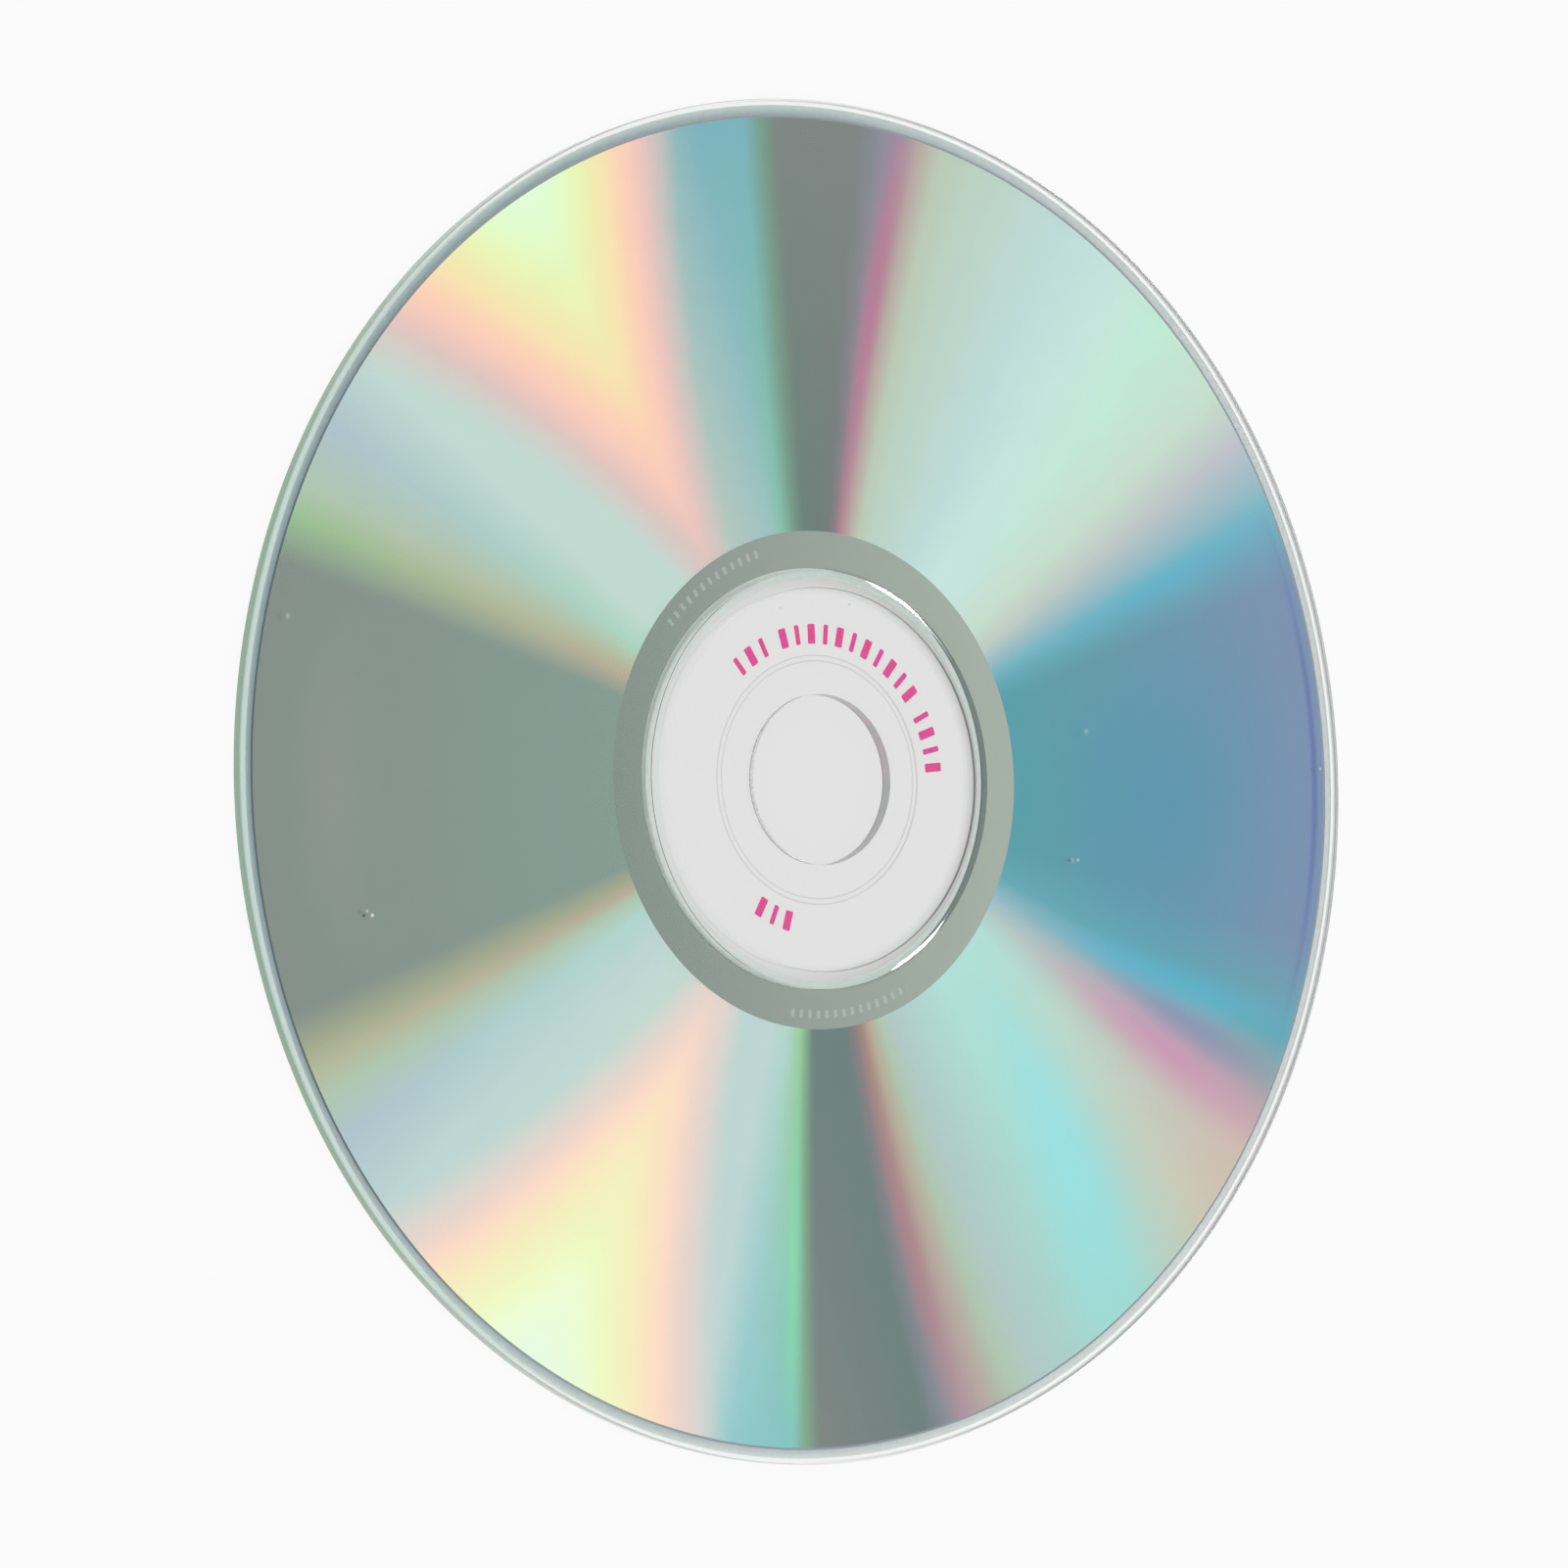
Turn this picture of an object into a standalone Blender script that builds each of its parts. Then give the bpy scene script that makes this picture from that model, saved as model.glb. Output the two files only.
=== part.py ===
"""A 120 mm recordable compact disc, lying label side down with its shiny read side up.

Metres, +Z up. The origin is the centre of the disc's hole on the plane that the disc lies on.
The clear disc is moulded in one piece. The dye, the silver and the lacquer are films on its label side,
each laid over the one before, and the hub's print is ink on the same face.
"""
import math

import bmesh
import bpy

# The disc as a whole
DISC_DIAMETER = 0.120
DISC_THICKNESS = 0.0012
BORE_DIAMETER = 0.015
BORE_CHAMFER = 0.00006
RIM_ROUND = 0.00020

# The raised ring on the read side that keeps stacked discs apart
STACKING_RING_DIAMETER = 0.03674
STACKING_RING_WIDTH = 0.00151
STACKING_RING_HEIGHT = 0.00022
STACKING_RING_OUTER_SLOPE = 0.00072
STACKING_RING_INNER_SLOPE = 0.00012

# The shallow groove that the mould leaves round the hole on the label side
GROOVE_DIAMETER = 0.0221
GROOVE_WIDTH = 0.0010
GROOVE_DEPTH = 0.00012
GROOVE_SLOPE = 0.0005

# The films. The real dye and silver are about a ten-thousandth of a millimetre thick.
DYE_THICKNESS = 0.000010
SILVER_THICKNESS = 0.000010
COAT_THICKNESS = 0.000020
DATA_INNER_DIAMETER = 0.0439
DATA_OUTER_DIAMETER = 0.1170
MIRROR_BAND_WIDTH = 0.0035
SILVER_STEP = 0.00010
SILVER_PAST_DYE = 0.00020
COAT_PAST_SILVER = 0.00080

# The marks printed on the label side of the clear hub, between the groove and the lacquer
PRINT_GAP = 0.00095
PRINT_HEIGHT = 0.00175
PRINT_PITCH = 0.00155
PRINT_WIDTHS = (0.00078, 0.00048)
PRINT_THICKNESS = 0.000020
PRINT_GROUPS = ((2.0, 4), (33.5, 11), (113.0, 3), (237.0, 3))

# How finely round shapes are divided
AROUND = 120
ROUND_STEPS = 3

# Places worked out from the sizes above
DISC_RADIUS = DISC_DIAMETER / 2
BORE_RADIUS = BORE_DIAMETER / 2
RING_OUTER = STACKING_RING_DIAMETER / 2
RING_INNER = RING_OUTER - STACKING_RING_WIDTH
GROOVE_OUTER = GROOVE_DIAMETER / 2
GROOVE_INNER = GROOVE_OUTER - GROOVE_WIDTH
DYE_INNER = DATA_INNER_DIAMETER / 2
DYE_OUTER = DATA_OUTER_DIAMETER / 2
SILVER_INNER = DYE_INNER - MIRROR_BAND_WIDTH
STEP_RADIUS = DYE_INNER - SILVER_STEP
SILVER_OUTER = DYE_OUTER + SILVER_PAST_DYE
COAT_INNER = SILVER_INNER - COAT_PAST_SILVER
COAT_OUTER = SILVER_OUTER + COAT_PAST_SILVER
READ_FACE = DISC_THICKNESS
LABEL_FACE = DYE_THICKNESS + SILVER_THICKNESS + COAT_THICKNESS
UNDER_DYE = LABEL_FACE - DYE_THICKNESS
UNDER_SILVER = UNDER_DYE - SILVER_THICKNESS
BESIDE_DYE = LABEL_FACE - SILVER_THICKNESS


def clear_scene():
    """Removes whatever the open file holds."""
    for thing in list(bpy.data.objects):
        bpy.data.objects.remove(thing, do_unlink=True)


def make_material(name, colour, roughness, metallic=0.0, transmission=0.0, index=1.45):
    """A Principled material of one colour."""
    material = bpy.data.materials.new(name)
    material.use_nodes = True
    shader = material.node_tree.nodes["Principled BSDF"]
    shader.inputs["Base Color"].default_value = (*colour, 1.0)
    shader.inputs["Roughness"].default_value = roughness
    shader.inputs["Metallic"].default_value = metallic
    shader.inputs["Transmission Weight"].default_value = transmission
    shader.inputs["IOR"].default_value = index
    material.diffuse_color = (*colour, 1.0)
    return material


def place(name, shape, material):
    """Puts a finished shape in the scene as one named object."""
    mesh = bpy.data.meshes.new(name)
    shape.to_mesh(mesh)
    shape.free()
    mesh.materials.append(material)
    thing = bpy.data.objects.new(name, mesh)
    bpy.context.scene.collection.objects.link(thing)
    return thing


def turn(name, outline, material):
    """Turns a closed outline of (radius, height) points about the disc's axis."""
    shape = bmesh.new()
    corners = [shape.verts.new((radius, 0.0, height)) for radius, height in outline]
    edges = [shape.edges.new((corners[i - 1], corners[i])) for i in range(len(corners))]
    bmesh.ops.spin(
        shape,
        geom=corners + edges,
        cent=(0.0, 0.0, 0.0),
        axis=(0.0, 0.0, 1.0),
        angle=2 * math.pi,
        steps=AROUND,
        use_merge=True,
    )
    bmesh.ops.recalc_face_normals(shape, faces=shape.faces)
    thing = place(name, shape, material)
    thing.data.shade_smooth()
    thing.data.set_sharp_from_angle(angle=math.radians(30))
    return thing


def quarter_round(centre_radius, centre_height, size, start):
    """The points of a quarter circle, anticlockwise from the angle start in degrees."""
    angles = [math.radians(start + 90 * i / ROUND_STEPS) for i in range(ROUND_STEPS + 1)]
    return [(centre_radius + size * math.cos(a), centre_height + size * math.sin(a)) for a in angles]


def substrate_outline():
    """The clear disc's section, anticlockwise from the hole's edge on the label face."""
    groove_roof = LABEL_FACE + GROOVE_DEPTH
    crest = READ_FACE + STACKING_RING_HEIGHT
    label_side = [
        (BORE_RADIUS + BORE_CHAMFER, LABEL_FACE),
        (GROOVE_INNER, LABEL_FACE),
        (GROOVE_INNER + GROOVE_SLOPE, groove_roof),
        (GROOVE_OUTER, groove_roof),
        (GROOVE_OUTER, LABEL_FACE),
    ]
    rim_centre = DISC_RADIUS - RIM_ROUND
    lower_rim = quarter_round(rim_centre, LABEL_FACE + RIM_ROUND, RIM_ROUND, 270)
    upper_rim = quarter_round(rim_centre, READ_FACE - RIM_ROUND, RIM_ROUND, 0)
    read_side = [
        (RING_OUTER, READ_FACE),
        (RING_OUTER - STACKING_RING_OUTER_SLOPE, crest),
        (RING_INNER + STACKING_RING_INNER_SLOPE, crest),
        (RING_INNER, READ_FACE),
        (BORE_RADIUS + BORE_CHAMFER, READ_FACE),
        (BORE_RADIUS, READ_FACE - BORE_CHAMFER),
        (BORE_RADIUS, LABEL_FACE + BORE_CHAMFER),
    ]
    return label_side + lower_rim + upper_rim + read_side


def add_substrate():
    """The clear moulded disc."""
    clear = make_material("clear_polycarbonate", (0.86, 0.92, 0.90), 0.03, transmission=1.0, index=1.58)
    turn("substrate", substrate_outline(), clear)


def add_dye_layer():
    """The recording dye, over the data zone only."""
    dye = make_material("recording_dye", (0.42, 0.56, 0.52), 0.15, metallic=0.6)
    outline = [
        (DYE_INNER, UNDER_DYE),
        (DYE_OUTER, UNDER_DYE),
        (DYE_OUTER, LABEL_FACE),
        (DYE_INNER, LABEL_FACE),
    ]
    turn("dye_layer", outline, dye)


def add_silver_layer():
    """The silver film, over the dye and over the mirror band inside it."""
    silver = make_material("silver_film", (0.62, 0.66, 0.62), 0.08, metallic=1.0)
    outline = [
        (SILVER_INNER, BESIDE_DYE),
        (STEP_RADIUS, BESIDE_DYE),
        (STEP_RADIUS, UNDER_SILVER),
        (SILVER_OUTER, UNDER_SILVER),
        (SILVER_OUTER, LABEL_FACE),
        (DYE_OUTER, LABEL_FACE),
        (DYE_OUTER, UNDER_DYE),
        (DYE_INNER, UNDER_DYE),
        (DYE_INNER, LABEL_FACE),
        (SILVER_INNER, LABEL_FACE),
    ]
    turn("silver_layer", outline, silver)


def add_label_coat():
    """The lacquer with its plain printed face, over the silver and past both its edges."""
    coat = make_material("label_lacquer", (0.78, 0.79, 0.80), 0.45)
    outline = [
        (COAT_INNER, 0.0),
        (COAT_OUTER, 0.0),
        (COAT_OUTER, LABEL_FACE),
        (SILVER_OUTER, LABEL_FACE),
        (SILVER_OUTER, UNDER_SILVER),
        (STEP_RADIUS, UNDER_SILVER),
        (STEP_RADIUS, BESIDE_DYE),
        (SILVER_INNER, BESIDE_DYE),
        (SILVER_INNER, LABEL_FACE),
        (COAT_INNER, LABEL_FACE),
    ]
    turn("label_coat", outline, coat)


def print_places():
    """The angle in degrees of each printed mark, group by group."""
    middle = GROOVE_OUTER + PRINT_GAP + PRINT_HEIGHT / 2
    step = math.degrees(PRINT_PITCH / middle)
    return middle, [start + step * i for start, count in PRINT_GROUPS for i in range(count)]


def add_print():
    """The magenta marks on the hub, each a flat bar of ink that points at the centre."""
    ink = make_material("magenta_ink", (0.70, 0.05, 0.26), 0.5)
    middle, angles = print_places()
    for number, angle in enumerate(angles):
        width = PRINT_WIDTHS[number % len(PRINT_WIDTHS)]
        shape = bmesh.new()
        bmesh.ops.create_cube(shape, size=1.0)
        bmesh.ops.scale(shape, vec=(PRINT_HEIGHT, width, PRINT_THICKNESS), verts=shape.verts)
        bar = place(f"print_bar_{number + 1:02d}", shape, ink)
        turned = math.radians(angle)
        bar.location = (
            middle * math.cos(turned),
            middle * math.sin(turned),
            LABEL_FACE - PRINT_THICKNESS / 2,
        )
        bar.rotation_euler = (0.0, 0.0, turned)


clear_scene()
add_substrate()
add_dye_layer()
add_silver_layer()
add_label_coat()
add_print()
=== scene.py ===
"""A recordable compact disc lying label side down, seen from its shiny read side.

Metres, +Z up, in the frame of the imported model. The disc's middle is at the origin.
The angles in the tables are in degrees round the disc, from +X towards +Y.
"""
import math

import bpy
from mathutils import Matrix, Vector


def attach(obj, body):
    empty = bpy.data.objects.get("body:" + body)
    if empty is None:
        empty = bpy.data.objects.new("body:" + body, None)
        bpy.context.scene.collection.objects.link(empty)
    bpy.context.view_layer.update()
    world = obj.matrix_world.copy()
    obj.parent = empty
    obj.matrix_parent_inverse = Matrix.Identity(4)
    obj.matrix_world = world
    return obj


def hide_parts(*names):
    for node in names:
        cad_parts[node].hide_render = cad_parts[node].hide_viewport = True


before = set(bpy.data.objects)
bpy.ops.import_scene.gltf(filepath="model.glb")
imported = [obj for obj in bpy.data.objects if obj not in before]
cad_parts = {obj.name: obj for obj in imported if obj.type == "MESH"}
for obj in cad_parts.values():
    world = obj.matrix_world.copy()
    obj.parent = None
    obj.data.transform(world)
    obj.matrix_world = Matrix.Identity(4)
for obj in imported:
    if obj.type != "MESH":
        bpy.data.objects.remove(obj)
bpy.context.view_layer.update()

# The clear disc
# Water-clear polycarbonate, injection moulded in one piece round the 15 mm hole. It carries all the rest:
# the read face with its stacking ring looks up, and the films are laid on its flat underside.
DISC_RADIUS = 0.060
UNDERSIDE = 0.00004
READ_FACE = 0.0012
RIM_ROUND = 0.00020
HOLE_RADIUS = 0.0075
HOLE_EDGE_ROUND = 0.00006
RING_FOOT_OUTSIDE = 0.01842
RING_FOOT_INSIDE = 0.01686
RING_HEIGHT = 0.00022
RING_STEP_WIDTH = 0.00003
RING_STEP_HEIGHT = 0.00004
RING_FLANK_WIDTH = 0.00033
RING_FLANK_HEIGHT = 0.00015
RING_SHOULDER_WIDTH = 0.00033
RING_SHOULDER_POWER = 5
RING_SLOPE_INSIDE = 0.00012
RING_SLOPE_POWER = 2
GROOVE_OUTSIDE = 0.01110
GROOVE_INSIDE = 0.01038
GROOVE_DEPTH = 0.00007
GROOVE_WALL = 0.00024
GROOVE_LIP = 0.00003
RIM_BAND = 0.00050
STEPS_ROUND_DISC = 600
STEPS_IN_ROUND = 6
STEPS_IN_SLOPE = 8
SHARP_FROM = math.radians(20)
MM_IN_METRE = 1000.0
POLYCARBONATE_INDEX = 1.58
PLASTIC_TINT = (0.975, 0.99, 0.98)
PLASTIC_WARM_TINT = (0.985, 0.99, 0.98)
CLOUD_GRAIN = 60.0
DUST_GREY = (0.80, 0.82, 0.82)
DUST = (
    (-48.3, -8.6, 0.30, 0.30),
    (-47.8, -9.0, 0.26, 0.90),
    (-54.3, 16.4, 0.45, 0.20),
    (30.1, 2.8, 0.40, 0.22),
    (27.6, -8.7, 0.35, 0.20),
    (28.2, -8.7, 0.22, 0.65),
    (57.7, -1.9, 0.22, 0.45),
)
GRIT_GREY = (0.20, 0.20, 0.20)
GRIT = (
    (-3.4, 15.2, 0.24, 0.35),
    (4.2, 15.3, 0.20, 0.75),
)
NOISE_MIDDLE = (0.35, 0.65)
MOULD_GRAIN = 2500.0
HOLE_WALL_PALE = (0.96, 0.96, 0.96)
# Painted shade: the grey that the hole's wall takes at the right, above its foot.
HOLE_WALL_PAINTED_SHADE = (0.72, 0.74, 0.73)
HOLE_WALL_TURNS = 0.4 * HOLE_RADIUS
HOLE_WALL_PAINTED_SHADE_FROM = 0.00034
HOLE_WALL_ROUGHNESS = (0.30, 0.45)
HOLE_WALL_CLEARNESS = (0.9, 0.4)
# Painted shade: the grey of the groove's walls, where they bend the light.
GROOVE_PAINTED_SHADE = (0.62, 0.62, 0.62)
GROOVE_ROUGHNESS = (0.02, 0.10)
SLOPE_PALE = (0.97, 0.98, 0.975)
# Painted shade: the silver's grey that the ring's inner slope bends into view at the front and the right.
SLOPE_PAINTED_SHADE = (0.76, 0.80, 0.79)
SLOPE_LEAN = -0.8
SLOPE_TURNS = (-0.2 * RING_FOOT_INSIDE, 0.7 * RING_FOOT_INSIDE)
SLOPE_ROUGHNESS = (0.10, 0.25)
SLOPE_CLEARNESS = 0.7
# Painted light: a pale aqua share that brightens the ring's outer slope.
RING_PAINTED_AQUA_LIGHT = (0.83, 0.91, 0.88)
RING_GRAIN = 900.0
RING_ROUGHNESS = (0.02, 0.05)
RING_CLEARNESS = 0.92
# Painted light: the green and pale that light coming out of the rim gives it, greener at the left.
RIM_WALL_LEFT = (0.40, 0.61, 0.45)
RIM_WALL_REST = (0.97, 0.975, 0.97)
RIM_TOP_LEFT = (0.72, 0.86, 0.80)
RIM_TOP_REST = (0.92, 0.93, 0.925)
RIM_TURNS = (-0.92 * DISC_RADIUS, -0.3 * DISC_RADIUS)
RIM_WALL_TOP = READ_FACE - 1.2 * RIM_ROUND
RIM_TOP_FROM = READ_FACE - 0.3 * RIM_ROUND
RIM_ROUGHNESS = 0.2
RIM_CLEARNESS = (0.4, 0.85)


def quarter_round(radius, height, size, start):
    """Section points of a quarter circle about (radius, height), anticlockwise from the start angle."""
    angles = [math.radians(start + 90 * i / STEPS_IN_ROUND) for i in range(STEPS_IN_ROUND + 1)]
    return [(radius + size * math.cos(a), height + size * math.sin(a)) for a in angles]


def ease_out(foot, top, power):
    """Section points from one (radius, height) to another, steep at first and flatter towards the top."""
    points = []
    for i in range(STEPS_IN_SLOPE + 1):
        along = i / STEPS_IN_SLOPE
        rise = 1 - (1 - along) ** power
        points.append((foot[0] + (top[0] - foot[0]) * along, foot[1] + (top[1] - foot[1]) * rise))
    return points


def ring_section():
    """The stacking ring from its outer to its inner foot: a small step, a flank, a shoulder, a top."""
    crest = READ_FACE + RING_HEIGHT
    step = (RING_FOOT_OUTSIDE - RING_STEP_WIDTH, READ_FACE + RING_STEP_HEIGHT)
    flank = (step[0] - RING_FLANK_WIDTH, step[1] + RING_FLANK_HEIGHT)
    shoulder = ease_out(flank, (flank[0] - RING_SHOULDER_WIDTH, crest), RING_SHOULDER_POWER)
    inner_foot = (RING_FOOT_INSIDE, READ_FACE)
    inner_crest = (RING_FOOT_INSIDE + RING_SLOPE_INSIDE, crest)
    inner_slope = ease_out(inner_foot, inner_crest, RING_SLOPE_POWER)
    return [(RING_FOOT_OUTSIDE, READ_FACE), step] + shoulder + inner_slope[::-1]


def clear_disc_section():
    """The section of the clear disc, anticlockwise from the groove on the underside."""
    groove_roof = UNDERSIDE + GROOVE_DEPTH
    hole_edge = HOLE_RADIUS + HOLE_EDGE_ROUND
    rim = DISC_RADIUS - RIM_ROUND
    groove = [
        (GROOVE_INSIDE - GROOVE_LIP, UNDERSIDE),
        (GROOVE_INSIDE, UNDERSIDE),
        (GROOVE_INSIDE + GROOVE_WALL, groove_roof),
        (GROOVE_OUTSIDE - GROOVE_WALL, groove_roof),
        (GROOVE_OUTSIDE, UNDERSIDE),
        (GROOVE_OUTSIDE + GROOVE_LIP, UNDERSIDE),
    ]
    rim_rounds = quarter_round(rim, UNDERSIDE + RIM_ROUND, RIM_ROUND, 270)
    rim_rounds += quarter_round(rim, READ_FACE - RIM_ROUND, RIM_ROUND, 0)
    rim_band = [(DISC_RADIUS - RIM_BAND, READ_FACE)]
    hole = quarter_round(hole_edge, READ_FACE - HOLE_EDGE_ROUND, HOLE_EDGE_ROUND, 90)
    hole += quarter_round(hole_edge, UNDERSIDE + HOLE_EDGE_ROUND, HOLE_EDGE_ROUND, 180)
    return groove + rim_rounds + rim_band + ring_section() + hole


def turn(name, section):
    """Turns a closed anticlockwise section of (radius, height) points about the disc's axis."""
    corners = []
    for step in range(STEPS_ROUND_DISC):
        angle = 2 * math.pi * step / STEPS_ROUND_DISC
        across, along = math.cos(angle), math.sin(angle)
        corners += [(radius * across, radius * along, height) for radius, height in section]
    count = len(section)
    faces = []
    for step in range(STEPS_ROUND_DISC):
        here = step * count
        there = (step + 1) % STEPS_ROUND_DISC * count
        for i in range(count):
            j = (i + 1) % count
            faces.append((here + i, there + i, there + j, here + j))
    mesh = bpy.data.meshes.new(name)
    mesh.from_pydata(corners, [], faces)
    mesh.shade_smooth()
    mesh.set_sharp_from_angle(angle=SHARP_FROM)
    piece = bpy.data.objects.new(name, mesh)
    bpy.context.scene.collection.objects.link(piece)
    return piece


def start_material(name):
    """A new material, its node tree and its Principled shader."""
    material = bpy.data.materials.new(name)
    material.use_nodes = True
    return material, material.node_tree, material.node_tree.nodes["Principled BSDF"]


def feed(tree, socket, term):
    """Gives a socket a link from another socket, or a plain value."""
    if isinstance(term, bpy.types.NodeSocket):
        tree.links.new(term, socket)
    else:
        socket.default_value = term


def reckon(tree, operation, *terms):
    """The result of a Math node on sockets or numbers."""
    node = tree.nodes.new("ShaderNodeMath")
    node.operation = operation
    for socket, term in zip(node.inputs, terms):
        feed(tree, socket, term)
    return node.outputs["Value"]


def spread(tree, value, low, high, at_low=0.0, at_high=1.0, soft=False):
    """The value's place between low and high, kept between the two results."""
    node = tree.nodes.new("ShaderNodeMapRange")
    node.interpolation_type = "SMOOTHSTEP" if soft else "LINEAR"
    for name, term in (
        ("Value", value), ("From Min", low), ("From Max", high), ("To Min", at_low), ("To Max", at_high),
    ):
        feed(tree, node.inputs[name], term)
    return node.outputs["Result"]


def mix_inks(tree, share, first, second):
    """A colour between two colours.

    A Mix node takes colours at its inputs 6 and 7 and gives one at its output 2.
    """
    node = tree.nodes.new("ShaderNodeMix")
    node.data_type = "RGBA"
    feed(tree, node.inputs[0], share)
    for socket, ink in ((node.inputs[6], first), (node.inputs[7], second)):
        feed(tree, socket, (*ink, 1.0) if isinstance(ink, tuple) else ink)
    return node.outputs[2]


def point_on_piece(tree):
    """The point on the piece, as a vector in metres."""
    return tree.nodes.new("ShaderNodeTexCoord").outputs["Object"]


def along_axes(tree, point):
    """The X, Y and Z of a point."""
    parts = tree.nodes.new("ShaderNodeSeparateXYZ")
    tree.links.new(point, parts.inputs["Vector"])
    return parts.outputs["X"], parts.outputs["Y"], parts.outputs["Z"]


def angle_round_disc(tree, x, y):
    """The angle of a place on the disc, in degrees from 0 to 360."""
    turned = reckon(tree, "ARCTAN2", y, x)
    return reckon(tree, "WRAP", reckon(tree, "DEGREES", turned), 360.0, 0.0)


def millimetres_out(tree, x, y):
    """The distance of a place on the disc from its axis, in millimetres."""
    across = reckon(tree, "MULTIPLY", x, x)
    along = reckon(tree, "MULTIPLY", y, y)
    metres = reckon(tree, "SQRT", reckon(tree, "ADD", across, along))
    return reckon(tree, "MULTIPLY", metres, MM_IN_METRE)


def grain(tree, point, scale, detail=3.0):
    """A soft noise from 0 to 1 with this many waves to the metre."""
    node = tree.nodes.new("ShaderNodeTexNoise")
    tree.links.new(point, node.inputs["Vector"])
    node.inputs["Scale"].default_value = scale
    node.inputs["Detail"].default_value = detail
    return node.outputs["Fac"]


def roughen(tree, shader, point, scale, noise, roughness):
    """Lets the roughness wander between two values as a soft noise crosses this part of its range."""
    tree.links.new(spread(tree, grain(tree, point, scale), *noise, *roughness), shader.inputs["Roughness"])


def lay_specks(tree, place, tint, clear_share, specks, grey):
    """Lays small soft specks on the read face, each an (x, y, radius, strength) with lengths in mm."""
    x, y, z = place
    on_read_face = spread(tree, z, READ_FACE / 3, READ_FACE / 2)
    for speck_x, speck_y, size, strength in specks:
        across = reckon(tree, "MULTIPLY_ADD", x, MM_IN_METRE, -speck_x)
        along = reckon(tree, "MULTIPLY_ADD", y, MM_IN_METRE, -speck_y)
        across_squared = reckon(tree, "MULTIPLY", across, across)
        away = reckon(tree, "SQRT", reckon(tree, "MULTIPLY_ADD", along, along, across_squared))
        covered = spread(tree, away, 0.0, size, strength, 0.0, soft=True)
        share = reckon(tree, "MULTIPLY", covered, on_read_face)
        tint = mix_inks(tree, share, tint, grey)
        clear_share = reckon(tree, "SUBTRACT", clear_share, share)
    return tint, clear_share


def start_plastic(name):
    """A new polycarbonate, its node tree, its Principled shader and the point on the piece."""
    material, tree, shader = start_material(name)
    shader.inputs["IOR"].default_value = POLYCARBONATE_INDEX
    return material, tree, shader, point_on_piece(tree)


def clear_plastic():
    """Clear polished polycarbonate, faintly green in clouds, with some dust and two dark grits."""
    material, tree, shader, point = start_plastic("clear_polycarbonate")
    place = along_axes(tree, point)
    clouds = grain(tree, point, CLOUD_GRAIN, 1.0)
    tint = mix_inks(tree, clouds, PLASTIC_TINT, PLASTIC_WARM_TINT)
    tint, clear_share = lay_specks(tree, place, tint, 1.0, DUST, DUST_GREY)
    tint, clear_share = lay_specks(tree, place, tint, clear_share, GRIT, GRIT_GREY)
    tree.links.new(tint, shader.inputs["Base Color"])
    tree.links.new(clear_share, shader.inputs["Transmission Weight"])
    shader.inputs["Roughness"].default_value = 0.0
    return material


def hole_wall_plastic():
    """The hole's satin wall, nearly clear at the left, and grey with painted shade at the right except
    along its foot.
    """
    material, tree, shader, point = start_plastic("satin_polycarbonate")
    x, _, z = along_axes(tree, point)
    to_the_right = spread(tree, x, -HOLE_WALL_TURNS, HOLE_WALL_TURNS, soft=True)
    painted_shade_share = reckon(tree, "MULTIPLY", to_the_right, spread(tree, z, UNDERSIDE, HOLE_WALL_PAINTED_SHADE_FROM))
    tree.links.new(mix_inks(tree, painted_shade_share, HOLE_WALL_PALE, HOLE_WALL_PAINTED_SHADE), shader.inputs["Base Color"])
    clear_share = spread(tree, painted_shade_share, 0.0, 1.0, *HOLE_WALL_CLEARNESS)
    tree.links.new(clear_share, shader.inputs["Transmission Weight"])
    roughen(tree, shader, point, MOULD_GRAIN, NOISE_MIDDLE, HOLE_WALL_ROUGHNESS)
    return material


def groove_plastic():
    """The groove's two sloping walls, with painted shade greyest half-way up each, where it bends the
    light most.
    """
    material, tree, shader, point = start_plastic("groove_polycarbonate")
    x, y, _ = along_axes(tree, point)
    radius = millimetres_out(tree, x, y)
    half_wall = GROOVE_WALL / 2 * MM_IN_METRE
    shade_share = 0.0
    for foot in (GROOVE_INSIDE, GROOVE_OUTSIDE - GROOVE_WALL):
        half_way_up = foot * MM_IN_METRE + half_wall
        off_middle = reckon(tree, "ABSOLUTE", reckon(tree, "SUBTRACT", radius, half_way_up))
        shade_share = reckon(tree, "ADD", shade_share, spread(tree, off_middle, half_wall, 0.0, soft=True))
    tree.links.new(mix_inks(tree, shade_share, PLASTIC_TINT, GROOVE_PAINTED_SHADE), shader.inputs["Base Color"])
    roughen(tree, shader, point, MOULD_GRAIN, NOISE_MIDDLE, GROOVE_ROUGHNESS)
    shader.inputs["Transmission Weight"].default_value = 1.0
    return material


def slope_plastic():
    """The ring's inner slope, with painted shade at the front and the right for the grey of the silver
    that it bends into view.
    """
    material, tree, shader, point = start_plastic("slope_polycarbonate")
    x, y, _ = along_axes(tree, point)
    aslant = reckon(tree, "MULTIPLY_ADD", y, SLOPE_LEAN, x)
    to_front_right = spread(tree, aslant, *SLOPE_TURNS, soft=True)
    tree.links.new(mix_inks(tree, to_front_right, SLOPE_PALE, SLOPE_PAINTED_SHADE), shader.inputs["Base Color"])
    roughen(tree, shader, point, MOULD_GRAIN, NOISE_MIDDLE, SLOPE_ROUGHNESS)
    shader.inputs["Transmission Weight"].default_value = SLOPE_CLEARNESS
    return material


def ring_plastic():
    """The outer slope of the stacking ring, brightened by a pale aqua painted light where the slope bends
    light into view.
    """
    material, tree, shader, point = start_plastic("ring_polycarbonate")
    roughen(tree, shader, point, RING_GRAIN, NOISE_MIDDLE, RING_ROUGHNESS)
    shader.inputs["Base Color"].default_value = (*RING_PAINTED_AQUA_LIGHT, 1.0)
    shader.inputs["Transmission Weight"].default_value = RING_CLEARNESS
    return material


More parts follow.
